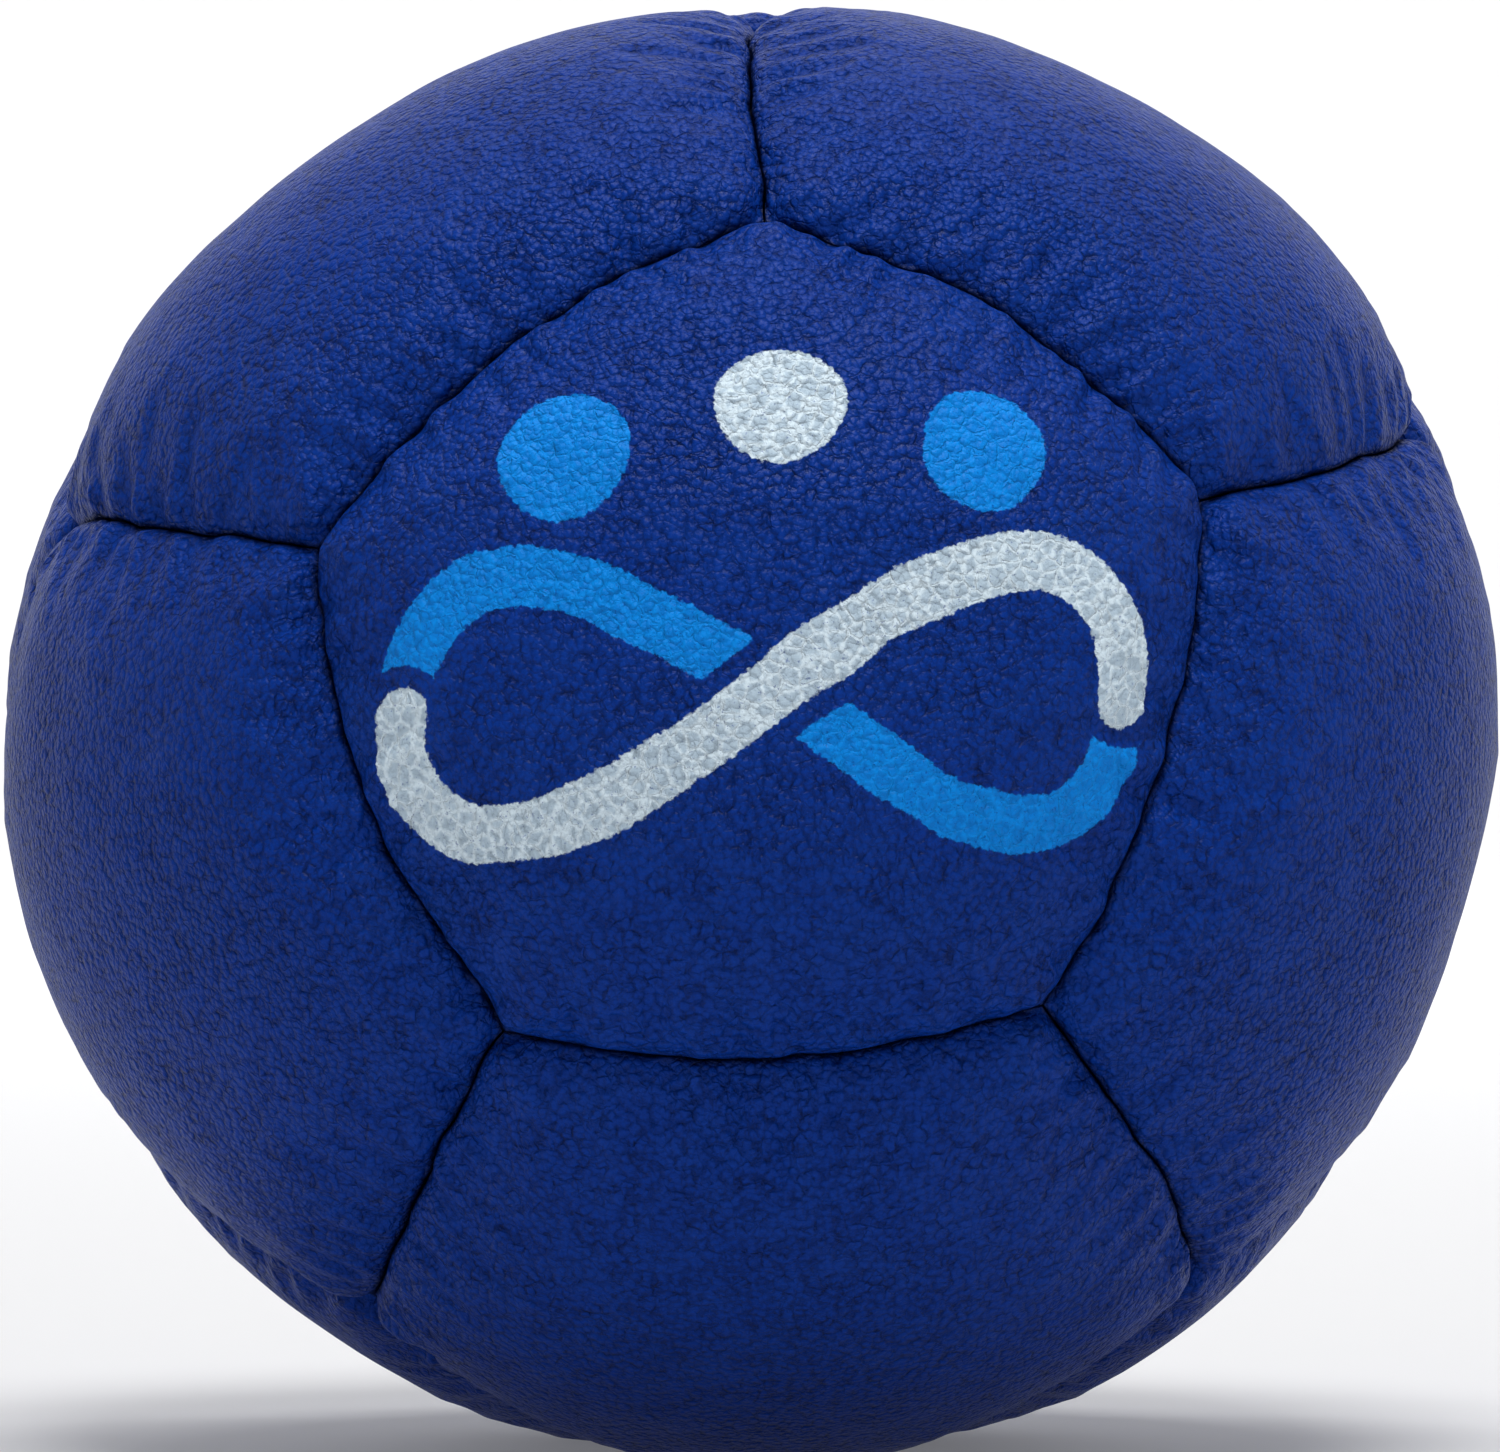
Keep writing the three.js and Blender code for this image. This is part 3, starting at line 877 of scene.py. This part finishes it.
def strayed(tree, where, size, amount):
    # places moved by up to amount, in every direction, by noise of this size
    inputs = {"Vector": where, "Scale": 1 / (size * millimetre), "Detail": 2.0}
    stray = wire(tree, "ShaderNodeTexNoise", inputs).outputs["Color"]
    centred = wire(tree, "ShaderNodeVectorMath", {0: stray, 1: (-0.5, -0.5, -0.5)}, operation="ADD")
    scaling = {0: centred.outputs[0], "Scale": 2 * amount * millimetre}
    moved = wire(tree, "ShaderNodeVectorMath", scaling, operation="SCALE").outputs[0]
    return wire(tree, "ShaderNodeVectorMath", {0: where, 1: moved}, operation="ADD").outputs[0]


def leatherMaterial(name, withPrint):
    # pebbled grain: domes that fall with the square of the distance from each cell's heart, deeper
    # creases that come and go, fine pores and slow unevenness, all in millimetres of relief; painted
    # shade darkens the hollows between the pebbles and the creases, a fine random mottle darkens too, and
    # the print is two inks, paler in the crevices
    material, tree, surface = newMaterial(name, Specular_IOR_Level=0.10, IOR=1.45)
    where = wire(tree, "ShaderNodeTexCoord").outputs["Object"]
    shifted = strayed(tree, where, grain["pebble"], grain["stray"])
    cells = {"Vector": shifted, "Scale": 1 / (grain["pebble"] * millimetre), "Randomness": 0.95}
    heart = wire(tree, "ShaderNodeTexVoronoi", cells, feature="F1").outputs["Distance"]
    creaseCells = {"Vector": shifted, "Scale": 1 / (grain["creaseCell"] * millimetre)}
    edges = wire(tree, "ShaderNodeTexVoronoi", creaseCells, feature="DISTANCE_TO_EDGE").outputs["Distance"]
    slow = noise(tree, where, grain["slow"], 3.0)
    patch = noise(tree, where, grain["patch"])
    fine = noise(tree, where, grain["fine"])
    comeAndGo = noise(tree, where, grain["creaseCell"] * 1.3, 1.0)
    crease = ramp(tree, edges, 0.0, grain["creaseBreadth"], 1.0, 0.0)
    crease = product(tree, crease, ramp(tree, comeAndGo, *grain["creaseShow"]))
    hollow = product(tree, heart, heart)
    depth = ramp(tree, patch, 0.35, 0.65, grain["flattest"], 1.0)
    relief = total(
        tree,
        product(tree, product(tree, hollow, depth), -grain["pebbleRise"]),
        product(tree, crease, -grain["creaseDepth"]),
        product(tree, fine, grain["fineRise"]),
        product(tree, slow, grain["slowRise"]),
    )

    mottle = ramp(tree, fine, 0.35, 0.65, grain["mottle"], 0.0)
    # painted shade between the pebbles and in the creases, with the fine random mottle, darkens the colour
    between = ramp(tree, heart, 0.30, 0.75, 0.0, grain["between"])
    paintedCreaseShade = product(tree, crease, grain["creaseShade"])
    dark = math(tree, "ADD", total(tree, between, mottle), paintedCreaseShade, clamp=True)
    colour = blendColour(tree, dark, grain["top"], grain["paintedShadeAndMottle"])
    lit = ramp(tree, slow, 0.42, 0.62, 0.0, grain["wornShare"])
    colour = blendColour(tree, lit, colour, grain["worn"])
    roughness = ramp(tree, fine, 0.3, 0.75, *grain["roughness"])
    if withPrint:
        wobble = math(tree, "SUBTRACT", noise(tree, where, grain["inkStraySize"]), 0.5)
        wobble = product(tree, wobble, grain["inkStray"] * 2)
        for ink in ("white", "cyan"):
            distance = wire(tree, "ShaderNodeAttribute", attribute_name=ink + "Mark").outputs["Fac"]
            edge = math(tree, "ADD", distance, wobble)
            cover = ramp(tree, edge, grain["inkEdge"], -grain["inkEdge"])
            crevice = ramp(tree, edges, 0.02, 0.20)
            inkColour = blendColour(tree, crevice, grain[ink + "Valley"], grain[ink])
            pin = product(tree, ramp(tree, fine, 0.36, 0.30), grain["inkPins"])
            inkColour = blendColour(tree, pin, inkColour, grain["top"])
            colour = blendColour(tree, cover, colour, inkColour)
            roughness = math(tree, "ADD", roughness, product(tree, cover, grain["inkMatt"]))
    # painted shade in the seam's groove: the colour darkens towards the seam
    seam = wire(tree, "ShaderNodeAttribute", attribute_name="seamDistance").outputs["Fac"]
    shade = ramp(tree, seam, 0.0, grain["seamShade"], grain["seamShadeDepth"], 0.0)
    colour = blendColour(tree, shade, colour, grain["seamShadeColour"])
    tree.links.new(colour, surface.inputs["Base Color"])
    tree.links.new(roughness, surface.inputs["Roughness"])
    bump = wire(tree, "ShaderNodeBump", {"Height": relief, "Distance": millimetre, "Strength": 1.0})
    tree.links.new(bump.outputs["Normal"], surface.inputs["Normal"])
    return material


def threadMaterial():
    # waxed thread: nearly black blue, fibres as fine stripes of light and dark
    material, tree, surface = newMaterial("waxedThread", Roughness=0.6, Sheen_Weight=0.3)
    where = wire(tree, "ShaderNodeTexCoord").outputs["Object"]
    fibre = noise(tree, where, stitching["fibre"], 3.0)
    colour = blendColour(tree, fibre, stitching["dark"], stitching["light"])
    tree.links.new(colour, surface.inputs["Base Color"])
    rise = stitching["fibreRise"] * millimetre
    bump = wire(tree, "ShaderNodeBump", {"Height": fibre, "Distance": rise})
    tree.links.new(bump.outputs["Normal"], surface.inputs["Normal"])
    return material


def pelletMaterial():
    # milky plastic, each pellet a little warmer or greyer than the next
    material, tree, surface = newMaterial("pelletPlastic", Roughness=0.38, Subsurface_Weight=0.15)
    surface.inputs["Subsurface Radius"].default_value = (0.001, 0.001, 0.001)
    where = wire(tree, "ShaderNodeTexCoord").outputs["Object"]
    cloud = noise(tree, where, filling["cloudSize"])
    colour = blendColour(tree, ramp(tree, cloud, 0.35, 0.65), filling["warm"], filling["pale"])
    tree.links.new(colour, surface.inputs["Base Color"])
    uneven = noise(tree, where, filling["unevenSize"])
    bump = wire(tree, "ShaderNodeBump", {"Height": uneven, "Distance": filling["unevenRise"] * millimetre})
    tree.links.new(bump.outputs["Normal"], surface.inputs["Normal"])
    return material


# The pieces, each on its body and in place of its node

def settleIn(piece, node, material):
    # the finished piece with its material, on the ball's body and in place of its node
    piece.data.materials.append(material)
    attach(piece, "root")
    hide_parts(node)


plainLeather = leatherMaterial("pebbledLeather", False)
printedLeather = leatherMaterial("printedLeather", True)
# each leather panel: a regular pentagon carried out to its folds, and the turned-in strips beyond them
for number, name in enumerate(panelNames):
    panel = makePanel(number)
    isFront = name == "front"
    settleIn(
        panel, "panel_" + name,
        printedLeather if isFront else plainLeather,
    )

waxed = threadMaterial()
seamCount = 0
for one, oneName in enumerate(panelNames):
    for other in range(one + 1, len(panelNames)):
        ends = sharedCorners(one, other)
        if len(ends) == 2:
            seamName = oneName + "_to_" + panelNames[other]
            settleIn(makeThread("stitches_" + seamName, ends), "thread_" + seamName, waxed)
            seamCount += 1
print("seams sewn", seamCount)

pellets = makeFilling()
settleIn(pellets, "filling", pelletMaterial())
print("filling made")

# The camera, the light and the floor

studio = {
    "distance": 450.0,  # camera to the ball's middle
    "margin": 1.001,  # the frame's width over the ball's
    "lower": 0.12,  # camera below the ball's middle
    "sensor": 36.0,
    "overhead": (0.05, -0.26, 0.72),  # metres, like all of the lights
    "overheadSize": 0.32,
    "overheadPower": 4.0,
    "backdrop": (0.0, 0.6, 1.9),
    "backdropTarget": (0.0, 2.9, 0.7),
    "backdropSize": 1.0,
    "backdropPower": 75.0,
    "world": 0.05,
}
lowest, highest = np.array(cadBox[0]), np.array(cadBox[1])
middleHeight = float(lowest[2] + highest[2]) / 2

cameraData = bpy.data.cameras.new("camera")
camera = bpy.data.objects.new("camera", cameraData)
bpy.context.scene.collection.objects.link(camera)
camera.location = (0, -studio["distance"] * millimetre, middleHeight - studio["lower"] * millimetre)
camera.rotation_euler = (np.pi / 2, 0, 0)
width = float(highest[0] - lowest[0])
cameraData.sensor_width = studio["sensor"]
cameraData.lens = studio["sensor"] * studio["distance"] * millimetre / (width * studio["margin"])
cameraData.clip_start = 0.01
bpy.context.scene.camera = camera


cove = {
    "flat": 2.0,  # metres, like all of the cove: radius of the level floor
    "bend": 0.9,
    "height": 3.2,
    "around": 96,
    "levelRings": 12,
    "bendRings": 20,
    "grey": (0.58, 0.58, 0.59, 1),
    "glow": 0.14,
}


def addFloor():
    # a round cove: a profile, level, then a quarter round, then upright, turned about the upright axis
    bend = np.linspace(0, np.pi / 2, cove["bendRings"])
    level = np.linspace(0, cove["flat"], cove["levelRings"])[1:-1]
    radius = np.concatenate([
        level, cove["flat"] + cove["bend"] * np.sin(bend), [cove["flat"] + cove["bend"]],
    ])
    height = np.concatenate([0 * level, cove["bend"] * (1 - np.cos(bend)), [cove["height"]]])
    turn = np.arange(cove["around"]) * 2 * np.pi / cove["around"]
    rings = np.stack([
        radius[:, None] * np.cos(turn), radius[:, None] * np.sin(turn),
        np.broadcast_to(height[:, None], (len(radius), len(turn))),
    ], axis=-1)
    points = np.concatenate([rings.reshape(-1, 3), np.zeros((1, 3))]) / millimetre
    index = np.arange(rings[..., 0].size).reshape(len(radius), len(turn))
    beside = np.roll(index, -1, axis=1)
    quads = np.stack([index[:-1], index[1:], beside[1:], beside[:-1]], axis=-1)
    fan = np.stack([np.full(len(turn), index.size), index[0], beside[0]], axis=-1)
    floor = makeMesh("floor", points, [quads.reshape(-1, 4), fan])
    paint = bpy.data.materials.new("paleFloor")
    paint.use_nodes = True
    body = paint.node_tree.nodes["Principled BSDF"]
    body.inputs["Base Color"].default_value = cove["grey"]
    body.inputs["Emission Color"].default_value = (1, 1, 1, 1)
    body.inputs["Emission Strength"].default_value = cove["glow"]
    body.inputs["Roughness"].default_value = 0.9
    floor.data.materials.append(paint)


addFloor()


def addLight(name, place, target, size, power):
    # a square area light aimed at a point
    data = bpy.data.lights.new(name, "AREA")
    data.size = size
    data.energy = power
    light = bpy.data.objects.new(name, data)
    light.location = place
    light.rotation_euler = (Vector(target) - Vector(place)).to_track_quat("-Z", "Y").to_euler()
    bpy.context.scene.collection.objects.link(light)


ballMiddle = (0, 0, middleHeight)
addLight("overhead", studio["overhead"], ballMiddle, studio["overheadSize"], studio["overheadPower"])
addLight(
    "backdrop", studio["backdrop"], studio["backdropTarget"], studio["backdropSize"],
    studio["backdropPower"],
)
world = bpy.data.worlds.new("studio")
world.use_nodes = True
world.node_tree.nodes["Background"].inputs["Color"].default_value = (1, 1, 1, 1)
world.node_tree.nodes["Background"].inputs["Strength"].default_value = studio["world"]
bpy.context.scene.world = world
bpy.context.scene.view_settings.view_transform = "Standard"
print("studio set")
